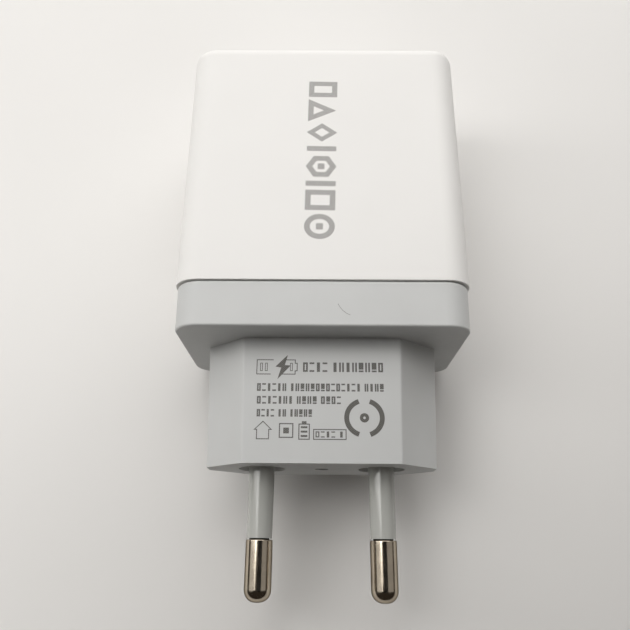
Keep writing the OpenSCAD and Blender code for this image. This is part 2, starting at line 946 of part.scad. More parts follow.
// Copper winding under yellow tape, wound round the bobbin
module transformer_winding() {
    w = core_w - 2 * leg_outer - 2 * winding_room;
    inner = bobbin_wall + fit;
    color(tape_yellow)
        on_board(transformer_at)
            translate([0, 0, bobbin_low + bobbin_flange + fit])
                linear_extrude(bobbin_tall - 2 * bobbin_flange - 2 * fit)
                    difference() {
                        rounded_rect(w, winding_depth, winding_r);
                        square([leg_centre + 2 * inner, core_depth + 2 * inner], center = true);
                    }
}

// Disc safety capacitor standing on two legs
module y_capacitor() {
    inner = disc_r - disc_edge;
    color(disc_blue)
        on_board(y_cap_at) {
            translate([0, 0, disc_r + disc_up])
                rotate([90, 0, 0])
                    rotate_extrude() {
                        translate([0, -disc_t / 2])
                            square([inner, disc_t]);
                        translate([inner, 0])
                            intersection() {
                                circle(disc_t / 2);
                                translate([0, -disc_t / 2])
                                    square([disc_edge, disc_t]);
                            }
                    }
            legs(y_cap_legs, 2, leg_r, disc_t);
        }
}

// Row of small chip resistors and capacitors
module chip_resistors() {
    color(tin)
        for (y = resistor_y)
            on_board([resistor_x, y])
                translate([0, 0, small_lift])
                    difference() {
                        translate([-small_body[0] / 2, -small_body[1] / 2, 0])
                            cube(small_body);
                        translate([small_end - small_body[0] / 2, -small_body[1] / 2 - over,
                                   small_body[2] - small_sink])
                            cube([small_body[0] - 2 * small_end, small_body[1] + 2 * over, over]);
                    }
}

// Thin card between the main board and the housing
module insulating_card() {
    w = main_w - 2 * rail_in - 2 * card_room;
    color(card_cream)
        translate([-w / 2, rail_y, -cavity_z + card_lift])
            cube([w, main_y + main_len - rail_y, card_t]);
}

// ---- USB end -------------------------------------------------------------------------------

// Puts its children on the front face of the USB board, at one socket
module at_port(x) {
    translate([x, 0, 0])
        lengthwise(usb_front)
            children();
}

module usb_board() {
    color(fibreglass)
        difference() {
            translate([-usb_w / 2, usb_y, -usb_h / 2])
                cube([usb_w, board_t, usb_h]);
            for (x = port_x) {
                for (sx = [-1, 1], sz = [-1, 1])
                    translate([x + sx * leg_x, usb_y + board_t / 2, sz * leg_z])
                        cube([leg_w + 2 * leg_room, board_t + 2 * over, shell_t + 2 * leg_room],
                             center = true);
                for (z = contact_z)
                    translate([x + contact_x, usb_y - over, z])
                        rotate([-90, 0, 0])
                            cylinder(h = board_t + 2 * over, r = tail_hole_r);
            }
            for (i = [0 : 3])
                translate([header_at[0] + (i - 1.5) * header_pitch, usb_y - over, main_top + header_rise])
                    rotate([-90, 0, 0])
                        cylinder(h = board_t + 2 * over, r = 2 * header_pin);
        }
}

// Right-angle header that joins the two boards
module board_header() {
    p = header_pin;
    body_w = 4 * header_pitch;
    low = -board_t - leg_down;
    reach = usb_front - header_at[1] + header_tip;
    color(resin)
        on_board(header_at) {
            translate([-body_w / 2, -header_back, fit])
                cube([body_w, header_body[0], header_body[1]]);
            for (i = [0 : 3])
                translate([(i - 1.5) * header_pitch, 0, 0])
                    rotate([90, 0, 90])
                        linear_extrude(2 * p, center = true)
                            polygon([[-p, low], [p, low], [p, header_rise - p], [reach, header_rise - p],
                                     [reach, header_rise + p], [-p, header_rise + p]]);
        }
}

// Charge identification chip on the back of the USB board
module charge_id_chip() {
    color(resin)
        translate([charge_id_at[0], usb_y, charge_id_at[1]])
            rotate([90, 0, 0])
                chip(charge_id_form);
}

// Steel shell of a socket: a folded tube with two stamped springs on each broad side and four legs
module port_shell(x) {
    ow = mouth_w + 2 * shell_t;
    oh = mouth_h + 2 * shell_t;
    root_y = window_y - leaf_room;
    bend_y = window_y + window_h - leaf_bend;
    tip_y = window_y + window_h - leaf_end;
    color(steel)
        at_port(x) {
            difference() {
                translate([0, 0, seat])
                    linear_extrude(shell_len)
                        difference() {
                            rounded_rect(ow, oh, shell_edge_r);
                            rounded_rect(mouth_w, mouth_h, shell_edge_r - shell_t);
                        }
                for (z = [-window_z, window_z])
                    translate([-ow / 2 - over, z - window_w / 2, window_y])
                        cube([ow + 2 * over, window_w, window_h]);
            }
            for (side = [0, 1], z = [-window_z, window_z])
                mirror([side, 0, 0])
                    translate([mouth_w / 2, z, 0])
                        rotate([90, 0, 0])
                            linear_extrude(window_w - 2 * leaf_room, center = true)
                                polygon([[0, root_y], [shell_t, root_y], [shell_t, window_y],
                                         [shell_t - leaf_in, bend_y], [shell_t, tip_y],
                                         [leaf_edge, tip_y], [-leaf_in, bend_y], [0, window_y]]);
            for (sx = [-1, 1], sz = [-1, 1])
                translate([sx * leg_x - leg_w / 2, sz * leg_z - shell_t / 2, seat - leg_len])
                    cube([leg_w, shell_t, leg_len + fit]);
        }
}

module port_1_shell() {
    port_shell(port_x[0]);
}

module port_2_shell() {
    port_shell(port_x[1]);
}

module port_3_shell() {
    port_shell(port_x[2]);
}

// Plastic block and tongue of a socket, with a groove for each contact
module port_insulator(x) {
    color(tongue_white)
        at_port(x)
            difference() {
                union() {
                    translate([0, 0, seat])
                        linear_extrude(block_h - seat)
                            rounded_rect(mouth_w - 2 * fit, mouth_h - 2 * fit, shell_edge_r - shell_t);
                    translate([tongue_x, -tongue_w / 2, seat])
                        cube([tongue_t, tongue_w, tongue_end - seat]);
                }
                for (z = contact_z) {
                    translate([tongue_x - over, z - groove_w / 2, block_h])
                        cube([groove_h + over, groove_w, groove_end - block_h]);
                    translate([contact_x - tail_t / 2 - fit, z - tail_t, -over])
                        cube([tail_t + 2 * fit, 2 * tail_t, block_h + 2 * over]);
                }
            }
}

module port_1_insulator() {
    port_insulator(port_x[0]);
}

module port_2_insulator() {
    port_insulator(port_x[1]);
}

module port_3_insulator() {
    port_insulator(port_x[2]);
}

// Four sprung contacts of a socket, bowed out of the tongue and turning about their roots
module port_contacts(x) {
    left = contact_x - contact_t / 2;
    right = contact_x + contact_t / 2;
    bow_right = bow_x + contact_t;
    bend_h = hinge_h + bow_start;
    bow_h = hinge_h + bow_top;
    tip_h = hinge_h + contact_reach;
    color(gold)
        at_port(x)
            for (z = contact_z)
                translate([0, z, 0])
                    rotate([90, 0, 0]) {
                        translate([contact_x, hinge_h, 0])
                            cylinder(h = contact_w, r = root_r, center = true);
                        linear_extrude(contact_w, center = true)
                            polygon([[left, hinge_h], [right, hinge_h], [right, bend_h],
                                     [bow_right, bow_h - bow_half], [bow_right, bow_h + bow_half],
                                     [right, tip_h], [left, tip_h], [bow_x, bow_h + bow_half],
                                     [bow_x, bow_h - bow_half], [left, bend_h]]);
                    }
}

module port_1_contacts() {
    port_contacts(port_x[0]);
}

module port_2_contacts() {
    port_contacts(port_x[1]);
}

module port_3_contacts() {
    port_contacts(port_x[2]);
}

// Fixed tails that carry the contacts' current back through the USB board
module contact_tails() {
    color(gold)
        for (x = port_x)
            at_port(x)
                for (z = contact_z)
                    translate([contact_x - tail_t / 2, z - tail_t / 2, -board_t - tail_out])
                        cube([tail_t, tail_t, tail_h + board_t + tail_out]);
}

// ---- Nodes ---------------------------------------------------------------------------------

main_housing();
base_cap();
left_pin();
right_pin();
left_pin_sleeve();
right_pin_sleeve();
pin_retainer();
retainer_screws();
live_lead();
neutral_lead();
main_board();
fuse_resistor();
bridge_rectifier();
input_choke();
input_capacitor_1();
input_capacitor_2();
transformer_core();
transformer_bobbin();
transformer_winding();
controller_chip();
y_capacitor();
optocoupler();
output_diode();
output_capacitor_1();
output_capacitor_2();
chip_resistors();
usb_board();
board_header();
charge_id_chip();
contact_tails();
insulating_card();
port_1_shell();
port_2_shell();
port_3_shell();
port_1_insulator();
port_2_insulator();
port_3_insulator();
port_1_contacts();
port_2_contacts();
port_3_contacts();
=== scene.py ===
import math

import bmesh
import bpy
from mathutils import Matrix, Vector
from mathutils.bvhtree import BVHTree


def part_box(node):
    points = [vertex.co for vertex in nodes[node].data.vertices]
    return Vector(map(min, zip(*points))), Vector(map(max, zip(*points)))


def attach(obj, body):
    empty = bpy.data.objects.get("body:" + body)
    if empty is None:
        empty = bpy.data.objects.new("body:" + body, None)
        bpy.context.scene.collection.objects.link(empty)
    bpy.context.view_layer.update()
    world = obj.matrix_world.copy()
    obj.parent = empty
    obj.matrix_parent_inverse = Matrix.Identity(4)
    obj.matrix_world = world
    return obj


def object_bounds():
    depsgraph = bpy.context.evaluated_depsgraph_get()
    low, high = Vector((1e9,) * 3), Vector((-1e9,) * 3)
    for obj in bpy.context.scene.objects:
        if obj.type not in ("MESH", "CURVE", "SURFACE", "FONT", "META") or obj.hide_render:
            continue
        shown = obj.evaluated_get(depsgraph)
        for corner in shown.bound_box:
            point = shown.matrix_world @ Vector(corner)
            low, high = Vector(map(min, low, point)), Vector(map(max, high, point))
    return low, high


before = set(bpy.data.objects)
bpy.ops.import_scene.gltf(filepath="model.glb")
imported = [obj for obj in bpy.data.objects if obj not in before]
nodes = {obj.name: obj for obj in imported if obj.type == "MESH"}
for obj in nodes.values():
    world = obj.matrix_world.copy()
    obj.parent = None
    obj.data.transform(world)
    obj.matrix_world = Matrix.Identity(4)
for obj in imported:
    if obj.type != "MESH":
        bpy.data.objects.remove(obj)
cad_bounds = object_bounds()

# Looks of a USB wall charger that lies on its back, with its pins towards the viewer.
# Lengths are in metres, and MM turns millimetres into them.
MM = 0.001
CHARGER = "charger"


# ---- Camera, light and floor ----------------------------------------------------------------

# The camera stands over the plug end and looks down along the case; its turn is in radians
CAMERA_PLACE = Vector((-0.42, -12.89, 100.67)) * MM
CAMERA_TURN = (0.367, 0.005, 0.008)
CAMERA_LENS = 36.13
SENSOR = 36.0
CAMERA_REACH = (5 * MM, 20.0)

# Room light: it grows from dark to far as the direction it comes from turns away from the viewer
STUDIO_FALL = (-0.35, 0.9)
STUDIO_DARK = 0.03
STUDIO_FAR = 0.20
STUDIO_NEAR_TINT = (1.0, 0.82, 0.66, 1.0)
STUDIO_FAR_TINT = (1.0, 0.985, 0.965, 1.0)
BACKDROP = (0.80, 0.795, 0.785, 1.0)

# Dark card over the camera, which darkens the near floor and gives the pins their dark streak
CARD_OFFSET = Vector((20, 9, 3)) * MM
CARD_WIDTH = 0.072
CARD_LENGTH = 0.090
CARD_TONE = 0.01
DOWN = Vector((0, 0, -1))

# Softboxes as (name, place, width, length, watts): most of the light is high, far and to the left
LIGHT_TARGET = Vector((0, 0.02, 0))
LIGHT_COLOUR = (1.0, 0.988, 0.968)
SOFTBOXES = (
    ("high_left_softbox", (-0.16, 0.22, 0.54), 0.55, 0.35, 1.03),
    ("high_right_softbox", (0.22, 0.24, 0.50), 0.35, 0.35, 0.33),
    ("top_far_softbox", (0.0, 0.30, 0.45), 0.35, 0.35, 0.56),
    ("far_low_softbox", (0.0, 0.49, 0.22), 0.9, 0.35, 0.74),
    ("far_right_softbox", (0.28, 0.48, 0.22), 0.35, 0.35, 0.58),
    ("left_strip", (-0.225, 0.06, 0.225), 0.09, 0.34, 0.33),
    ("left_fill", (-0.50, 0.08, 0.42), 0.5, 0.5, 0.42),
    ("right_fill", (0.45, 0.10, 0.40), 0.5, 0.6, 0.26),
)

# The floor turns into the backdrop between the two distances of its fade
FLOOR_SIZE = 6.0
FLOOR_COLOUR = (0.808, 0.798, 0.783)
FLOOR_FADE = (0.13, 0.32)


def make_camera():
    data = bpy.data.cameras.new("camera")
    data.sensor_width = SENSOR
    data.lens = CAMERA_LENS
    data.clip_start, data.clip_end = CAMERA_REACH
    camera = bpy.data.objects.new("camera", data)
    camera.location = CAMERA_PLACE
    camera.rotation_euler = CAMERA_TURN
    bpy.context.scene.collection.objects.link(camera)
    bpy.context.scene.camera = camera


def make_softbox(name, place, width, length, power):
    """A plain rectangular softbox at place, facing the object."""
    data = bpy.data.lights.new(name, "AREA")
    data.shape = "RECTANGLE"
    data.size = width
    data.size_y = length
    data.energy = power
    data.color = LIGHT_COLOUR
    light = bpy.data.objects.new(name, data)
    light.location = place
    light.rotation_euler = (LIGHT_TARGET - Vector(place)).to_track_quat("-Z", "Y").to_euler()
    bpy.context.scene.collection.objects.link(light)


def make_studio():
    """Room light that is brighter on the far side, with a pale backdrop behind the object."""
    world = bpy.data.worlds.new("studio")
    bpy.context.scene.world = world
    world.use_nodes = True
    tree = world.node_tree
    output = tree.nodes["World Output"]
    room = tree.nodes["Background"]
    direction = tree.nodes.new("ShaderNodeTexCoord")
    split = tree.nodes.new("ShaderNodeSeparateXYZ")
    fall = tree.nodes.new("ShaderNodeMapRange")
    fall.interpolation_type = "SMOOTHSTEP"
    fall.inputs["From Min"].default_value, fall.inputs["From Max"].default_value = STUDIO_FALL
    tint = tree.nodes.new("ShaderNodeMix")
    tint.data_type = "RGBA"
    near_tint, far_tint = [s for s in tint.inputs if s.enabled and s.name in "AB"]
    near_tint.default_value = STUDIO_NEAR_TINT
    far_tint.default_value = STUDIO_FAR_TINT
    tree.links.new(direction.outputs["Generated"], split.inputs["Vector"])
    tree.links.new(split.outputs["Y"], fall.inputs["Value"])
    tree.links.new(fall.outputs["Result"], tint.inputs[0])
    strength = ranged(tree, fall.outputs["Result"], 0.0, 1.0, STUDIO_DARK, STUDIO_FAR)
    tree.links.new(strength, room.inputs["Strength"])
    tree.links.new(next(s for s in tint.outputs if s.enabled), room.inputs["Color"])

    backdrop = tree.nodes.new("ShaderNodeBackground")
    backdrop.inputs["Color"].default_value = BACKDROP
    rays = tree.nodes.new("ShaderNodeLightPath")
    either = tree.nodes.new("ShaderNodeMixShader")
    tree.links.new(rays.outputs["Is Camera Ray"], either.inputs["Fac"])
    tree.links.new(room.outputs["Background"], either.inputs[1])
    tree.links.new(backdrop.outputs["Background"], either.inputs[2])
    tree.links.new(either.outputs["Shader"], output.inputs["Surface"])


def make_card(name, centre, width, length, tone):
    """A matt card, facing down, that only shades and reflects: the camera looks through it."""
    mesh = bpy.data.meshes.new(name)
    corners = [(-width / 2, -length / 2, 0), (width / 2, -length / 2, 0),
               (width / 2, length / 2, 0), (-width / 2, length / 2, 0)]
    mesh.from_pydata(corners, [], [(0, 1, 2, 3)])
    card = bpy.data.objects.new(name, mesh)
    card.location = centre
    card.rotation_euler = DOWN.to_track_quat("Z", "Y").to_euler()
    finish = Finish(name, (tone, tone, tone), 0.9)
    mesh.materials.append(finish.done())
    card.visible_camera = False
    bpy.context.scene.collection.objects.link(card)


def fade_to_backdrop(finish):
    """Turns the floor into the backdrop's own plain tone, far from the object."""
    tree = finish.tree
    length = tree.nodes.new("ShaderNodeVectorMath")
    length.operation = "LENGTH"
    tree.links.new(coordinates(tree), length.inputs[0])
    backdrop = tree.nodes.new("ShaderNodeEmission")
    backdrop.inputs["Color"].default_value = BACKDROP
    rays = tree.nodes.new("ShaderNodeLightPath")
    far = ranged(tree, length.outputs["Value"], *FLOOR_FADE)
    mask = calculated(tree, "MULTIPLY", far, rays.outputs["Is Camera Ray"])
    either = tree.nodes.new("ShaderNodeMixShader")
    tree.links.new(mask, either.inputs["Fac"])
    tree.links.new(finish.shader.outputs["BSDF"], either.inputs[1])
    tree.links.new(backdrop.outputs["Emission"], either.inputs[2])
    tree.links.new(either.outputs["Shader"], tree.nodes["Material Output"].inputs["Surface"])


def make_floor():
    """The pale floor, at the height of the case's back face, with a faint unevenness of tone."""
    mesh = bpy.data.meshes.new("floor")
    half = FLOOR_SIZE / 2
    low = cad_bounds[0].z
    mesh.from_pydata([(-half, -half, low), (half, -half, low), (half, half, low), (-half, half, low)],
                     [], [(0, 1, 2, 3)])
    floor = bpy.data.objects.new("floor", mesh)
    finish = Finish("floor_paper", FLOOR_COLOUR, 0.75)
    finish.shade(noise(finish.tree, 60 * MM, detail=1.0), 0.97, 1.0)
    finish.bump(noise(finish.tree, 0.4 * MM), 0.004 * MM)
    mesh.materials.append(finish.done())
    fade_to_backdrop(finish)
    bpy.context.scene.collection.objects.link(floor)


# ---- Materials ------------------------------------------------------------------------------

# A wave texture of scale 1 turns through this many radians in a metre
WAVE_RATE = 20

# The part of a texture's 0 to 1 that holds nearly all its values
TEXTURE_SPAN = (0.3, 0.7)

# A corner of within() that leaves all its sides open
ANYWHERE = (None, None, None)


def coordinates(tree, stretch=(1, 1, 1), turn=(0, 0, 0)):
    """A piece's own coordinates in metres, which are the part's too, as every piece sits at the origin."""
    source = tree.nodes.new("ShaderNodeTexCoord")
    mapping = tree.nodes.new("ShaderNodeMapping")
    mapping.inputs["Scale"].default_value = stretch
    mapping.inputs["Rotation"].default_value = turn
    tree.links.new(source.outputs["Object"], mapping.inputs["Vector"])
    return mapping.outputs["Vector"]


def noise(tree, size, detail=2.0, stretch=(1, 1, 1), turn=(0, 0, 0)):
    """Cloudy noise, 0 to 1, with features about size across."""
    node = tree.nodes.new("ShaderNodeTexNoise")
    node.inputs["Scale"].default_value = 1 / size
    node.inputs["Detail"].default_value = detail
    tree.links.new(coordinates(tree, stretch, turn), node.inputs["Vector"])
    return node.outputs["Fac"]


def stripes(tree, period, turn=(0, 0, 0), distortion=0.0):
    """Soft stripes across X after the turn, 0 to 1."""
    node = tree.nodes.new("ShaderNodeTexWave")
    node.wave_type = "BANDS"
    node.bands_direction = "X"
    node.inputs["Scale"].default_value = math.tau / WAVE_RATE / period
    node.inputs["Distortion"].default_value = distortion
    tree.links.new(coordinates(tree, turn=turn), node.inputs["Vector"])
    return node.outputs["Fac"]


def cells(tree, size, feature="F1"):
    """Distance to the nearest of scattered points, in cells about size across."""
    node = tree.nodes.new("ShaderNodeTexVoronoi")
    node.feature = feature
    node.inputs["Scale"].default_value = 1 / size
    tree.links.new(coordinates(tree), node.inputs["Vector"])
    return node.outputs["Distance"]


def ranged(tree, value, low, high, out_low=0.0, out_high=1.0):
    """value from low..high to out_low..out_high, held at the ends."""
    node = tree.nodes.new("ShaderNodeMapRange")
    node.inputs["From Min"].default_value = low
    node.inputs["From Max"].default_value = high
    node.inputs["To Min"].default_value = out_low
    node.inputs["To Max"].default_value = out_high
    tree.links.new(value, node.inputs["Value"])
    return node.outputs["Result"]


def calculated(tree, operation, a, b):
    node = tree.nodes.new("ShaderNodeMath")
    node.operation = operation
    for socket, value in zip(node.inputs, (a, b)):
        if isinstance(value, (int, float)):
            socket.default_value = value
        else:
            tree.links.new(value, socket)
    return node.outputs["Value"]


def within(tree, low, high):
    """1 inside the box from low to high in the part's frame and 0 outside; None leaves a side open."""
    source = tree.nodes.new("ShaderNodeTexCoord")
    split = tree.nodes.new("ShaderNodeSeparateXYZ")
    tree.links.new(source.outputs["Object"], split.inputs["Vector"])
    mask = None
    for axis, start, end in zip("XYZ", low, high):
        for limit, operation in ((start, "GREATER_THAN"), (end, "LESS_THAN")):
            if limit is not None:
                side = calculated(tree, operation, split.outputs[axis], limit)
                mask = side if mask is None else calculated(tree, "MULTIPLY", mask, side)
    return mask


def round_zone(tree, centre, radius, depth):
    """1 within radius of a line along Y through centre (X, Z), where Y is under depth, and 0 beyond."""
    mapping = tree.nodes.new("ShaderNodeMapping")
    source = tree.nodes.new("ShaderNodeTexCoord")
    mapping.inputs["Location"].default_value = (-centre[0], 0, -centre[1])
    mapping.inputs["Scale"].default_value = (1, 0, 1)
    length = tree.nodes.new("ShaderNodeVectorMath")
    length.operation = "LENGTH"
    tree.links.new(source.outputs["Object"], mapping.inputs["Vector"])
    tree.links.new(mapping.outputs["Vector"], length.inputs[0])
    near = calculated(tree, "LESS_THAN", length.outputs["Value"], radius)
    return calculated(tree, "MULTIPLY", near, within(tree, ANYWHERE, (None, depth, None)))


def inverse(tree, mask):
    return calculated(tree, "SUBTRACT", 1.0, mask)


class Finish:
    """One procedural material: a base look, with other looks laid over it by masks."""

    def __init__(self, name, colour, roughness, metallic=0.0, **fixed):
        self.material = bpy.data.materials.new(name)
        self.material.use_nodes = True
        self.tree = self.material.node_tree
        self.shader = self.tree.nodes["Principled BSDF"]
        self.values = {"Base Color": (*colour, 1.0), "Roughness": roughness, "Metallic": metallic}
        for socket, value in fixed.items():
            self.shader.inputs[socket.replace("_", " ")].default_value = value

    def _mix(self, socket, mask, value):
        kind = "RGBA" if socket == "Base Color" else "FLOAT"
        node = self.tree.nodes.new("ShaderNodeMix")
        node.data_type = kind
        ends = [s for s in node.inputs if s.enabled and s.name in "AB"]
        self.tree.links.new(mask, node.inputs[0])
        for end, content in zip(ends, (self.values[socket], value)):
            if isinstance(content, bpy.types.NodeSocket):
                self.tree.links.new(content, end)
            else:
                end.default_value = content
        self.values[socket] = next(s for s in node.outputs if s.enabled)

    def over(self, mask, colour=None, roughness=None, metallic=None):
        """Lays another look over this one where mask is 1."""
        if colour is not None:
            self._mix("Base Color", mask, (*colour, 1.0))
        if roughness is not None:
            self._mix("Roughness", mask, roughness)
        if metallic is not None:
            self._mix("Metallic", mask, metallic)

    def shade(self, value, low, high):
        """Multiplies the colour by low..high as value crosses the texture's span."""
        node = self.tree.nodes.new("ShaderNodeVectorMath")
        node.operation = "SCALE"
        colour = self.values["Base Color"]
        if isinstance(colour, bpy.types.NodeSocket):
            self.tree.links.new(colour, node.inputs[0])
        else:
            node.inputs[0].default_value = colour[:3]
        self.tree.links.new(ranged(self.tree, value, *TEXTURE_SPAN, low, high), node.inputs["Scale"])
        self.values["Base Color"] = node.outputs["Vector"]

    def gloss(self, value, low, high):
        """Roughness from low to high as value crosses the texture's span."""
        self.values["Roughness"] = ranged(self.tree, value, *TEXTURE_SPAN, low, high)

    def bump(self, height, depth):
        """Relief of the given depth in metres; further calls add to it."""
        node = self.tree.nodes.new("ShaderNodeBump")
        node.inputs["Strength"].default_value = 1.0
        node.inputs["Distance"].default_value = depth
        self.tree.links.new(height, node.inputs["Height"])
        if self.shader.inputs["Normal"].is_linked:
            self.tree.links.new(self.shader.inputs["Normal"].links[0].from_socket, node.inputs["Normal"])
        self.tree.links.new(node.outputs["Normal"], self.shader.inputs["Normal"])

    def done(self):
        for socket, value in self.values.items():
            if isinstance(value, bpy.types.NodeSocket):
                self.tree.links.new(value, self.shader.inputs[socket])
            else:
                self.shader.inputs[socket].default_value = value
        return self.material


# ---- Finishes -------------------------------------------------------------------------------

# Width of the painted shade where a pin's bare tip meets its sleeve, and the zone of a pin's recess that is
# painted darker as shade
SEAM_SHADE_WIDTH = 0.22 * MM
RECESS_RADIUS = 3.62 * MM
RECESS_DEPTH = 1.3 * MM

# Tinned metal, laid over the legs and ends of parts whose body has another finish
TIN = dict(colour=(0.72, 0.72, 0.70), roughness=0.28, metallic=1.0)
board_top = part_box("main_board")[1].z


def dress(node, finish):
    """Gives a CAD node its finish in every slot."""
    for slot in nodes[node].material_slots:
        slot.material = finish.done()


def white_plastic():
    finish = Finish("white_plastic", (0.832, 0.823, 0.808), 0.5, Specular_IOR_Level=0.3)
    finish.shade(noise(finish.tree, 14 * MM, detail=1.0), 0.985, 1.0)
    finish.gloss(noise(finish.tree, 2.5 * MM, detail=4.0), 0.46, 0.58)
    finish.bump(noise(finish.tree, 0.22 * MM, detail=1.0), 0.0025 * MM)
    return finish


def grey_plastic(name="grey_plastic"):
    finish = Finish(name, (0.575, 0.583, 0.580), 0.42, Specular_IOR_Level=0.4)
    finish.shade(noise(finish.tree, 9 * MM, detail=2.0), 0.97, 1.01)
    finish.gloss(noise(finish.tree, 1.6 * MM, detail=4.0), 0.38, 0.52)
    finish.bump(noise(finish.tree, 0.16 * MM, detail=1.0), 0.004 * MM)
    return finish


def cap_plastic():
    """The grey moulding, coloured a little darker in the recess round each pin as painted shade."""
    finish = grey_plastic()
    for pin in ("left_pin", "right_pin"):
        low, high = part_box(pin)
        axis = ((low.x + high.x) / 2, (low.z + high.z) / 2)
        # Painted shade: the moulding inside each pin's recess is coloured a little darker
        finish.over(round_zone(finish.tree, axis, RECESS_RADIUS, RECESS_DEPTH), colour=(0.56, 0.565, 0.56))
    return finish


def sleeve_plastic():
    finish = Finish("sleeve_plastic", (0.47, 0.476, 0.452), 0.2, Specular_IOR_Level=0.5)
    finish.shade(noise(finish.tree, 3 * MM, stretch=(1, 0.3, 1)), 0.94, 1.02)
    finish.gloss(noise(finish.tree, 0.8 * MM, stretch=(1, 0.2, 1)), 0.06, 0.13)
    finish.bump(noise(finish.tree, 1.3 * MM, detail=1.0, stretch=(1, 0.4, 1)), 0.007 * MM)
    return finish


def nickel_plate():
    finish = Finish("nickel_plate", (0.60, 0.53, 0.43), 0.16, metallic=1.0,
                    Specular_Tint=(0.06, 0.05, 0.04, 1.0))
    tree = finish.tree
    finish.shade(noise(tree, 2.0 * MM, detail=3.0), 0.90, 1.05)
    finish.gloss(noise(tree, 0.25 * MM, detail=3.0, stretch=(1, 0.12, 1)), 0.10, 0.22)
    finish.bump(noise(tree, 0.30 * MM, detail=2.0), 0.0035 * MM)
    finish.bump(noise(tree, 0.10 * MM, detail=1.0, stretch=(0.03, 1, 0.03)), 0.0006 * MM)
    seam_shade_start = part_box("left_pin_sleeve")[0].y - SEAM_SHADE_WIDTH
    seam_shade = within(tree, (None, seam_shade_start, None), (None, 0.0, None))
    # Painted shade: a near-black, matt band on the tip just short of its sleeve stands in for the shadow in
    # the step where they meet
    finish.over(seam_shade, colour=(0.04, 0.032, 0.025), roughness=0.8, metallic=0.0)
    return finish


def brushed_steel():
    finish = Finish("tinned_steel", (0.74, 0.745, 0.75), 0.26, metallic=1.0)
    tree = finish.tree
    finish.shade(noise(tree, 1.5 * MM, detail=3.0), 0.92, 1.02)
    finish.gloss(noise(tree, 0.12 * MM, detail=2.0, stretch=(1, 0.05, 1)), 0.20, 0.36)
    finish.bump(noise(tree, 0.08 * MM, detail=1.0, stretch=(1, 0.04, 1)), 0.001 * MM)
    return finish


def gold_plate():
    finish = Finish("gold_plate", (0.83, 0.62, 0.27), 0.2, metallic=1.0)
    finish.shade(noise(finish.tree, 0.8 * MM, detail=3.0), 0.9, 1.03)
    finish.gloss(noise(finish.tree, 0.1 * MM, stretch=(1, 0.1, 1)), 0.16, 0.3)
    return finish


def fibreglass():
    """Green board with tracks under its mask, and the weave of the glass just showing."""
    finish = Finish("fibreglass", (0.028, 0.135, 0.055), 0.35)
    tree = finish.tree
    track_share = 0.09
    tracks = calculated(tree, "LESS_THAN", cells(tree, 4.5 * MM, "DISTANCE_TO_EDGE"), track_share)
    finish.over(tracks, colour=(0.05, 0.23, 0.09))
    thread = 0.5 * MM
    across = stripes(tree, thread)
    along = stripes(tree, thread, turn=(0, 0, math.pi / 2))
    weave = calculated(tree, "MULTIPLY", across, along)
    finish.bump(weave, 0.004 * MM)
    finish.bump(tracks, 0.02 * MM)
    finish.gloss(noise(tree, 1.0 * MM), 0.28, 0.4)
    return finish


def ferrite():
    finish = Finish("ferrite", (0.045, 0.043, 0.043), 0.5)
    finish.shade(cells(finish.tree, 0.3 * MM), 0.75, 1.3)
    finish.bump(noise(finish.tree, 0.2 * MM, detail=3.0), 0.015 * MM)
    return finish


def winding_tape():
    """Yellow polyester tape, with the edge of each turn showing."""
    finish = Finish("tape", (0.78, 0.55, 0.06), 0.22, Coat_Weight=0.3)
    laps = stripes(finish.tree, 1.1 * MM, turn=(0, math.pi / 2, 0), distortion=0.4)
    finish.shade(laps, 0.86, 1.05)
    finish.bump(laps, 0.02 * MM)
    return finish


def fish_paper():
    finish = Finish("fish_paper", (0.62, 0.57, 0.44), 0.7)
    finish.shade(noise(finish.tree, 0.5 * MM, detail=4.0, stretch=(0.2, 1, 1)), 0.88, 1.05)
    finish.bump(noise(finish.tree, 0.2 * MM, detail=3.0, stretch=(0.2, 1, 1)), 0.01 * MM)
    return finish


def lead_insulation(name, colour):
    finish = Finish(name, colour, 0.35)
    finish.shade(noise(finish.tree, 1.5 * MM), 0.88, 1.08)
    finish.bump(noise(finish.tree, 0.4 * MM), 0.01 * MM)
    return finish


def tongue_plastic():
    finish = Finish("tongue_plastic", (0.80, 0.79, 0.77), 0.4)
    finish.shade(noise(finish.tree, 2 * MM), 0.95, 1.0)
    finish.bump(noise(finish.tree, 0.12 * MM), 0.003 * MM)
    return finish


def resin(name):
    """Black moulding compound."""
    finish = Finish(name, (0.022, 0.022, 0.024), 0.48)
    finish.shade(noise(finish.tree, 0.15 * MM, detail=3.0), 0.8, 1.35)
    finish.bump(noise(finish.tree, 0.1 * MM, detail=2.0), 0.006 * MM)
    return finish


def chip(node, length, axis):
    """A black chip whose leads stand out past its length along one axis."""
    finish = resin(node + "_finish")
    low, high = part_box(node)
    middle = (low + high) / 2
    start, end = list(ANYWHERE), list(ANYWHERE)
    start[axis], end[axis] = middle[axis] - length / 2, middle[axis] + length / 2
    body = within(finish.tree, start, end)
    finish.over(inverse(finish.tree, body), **TIN)
    return finish


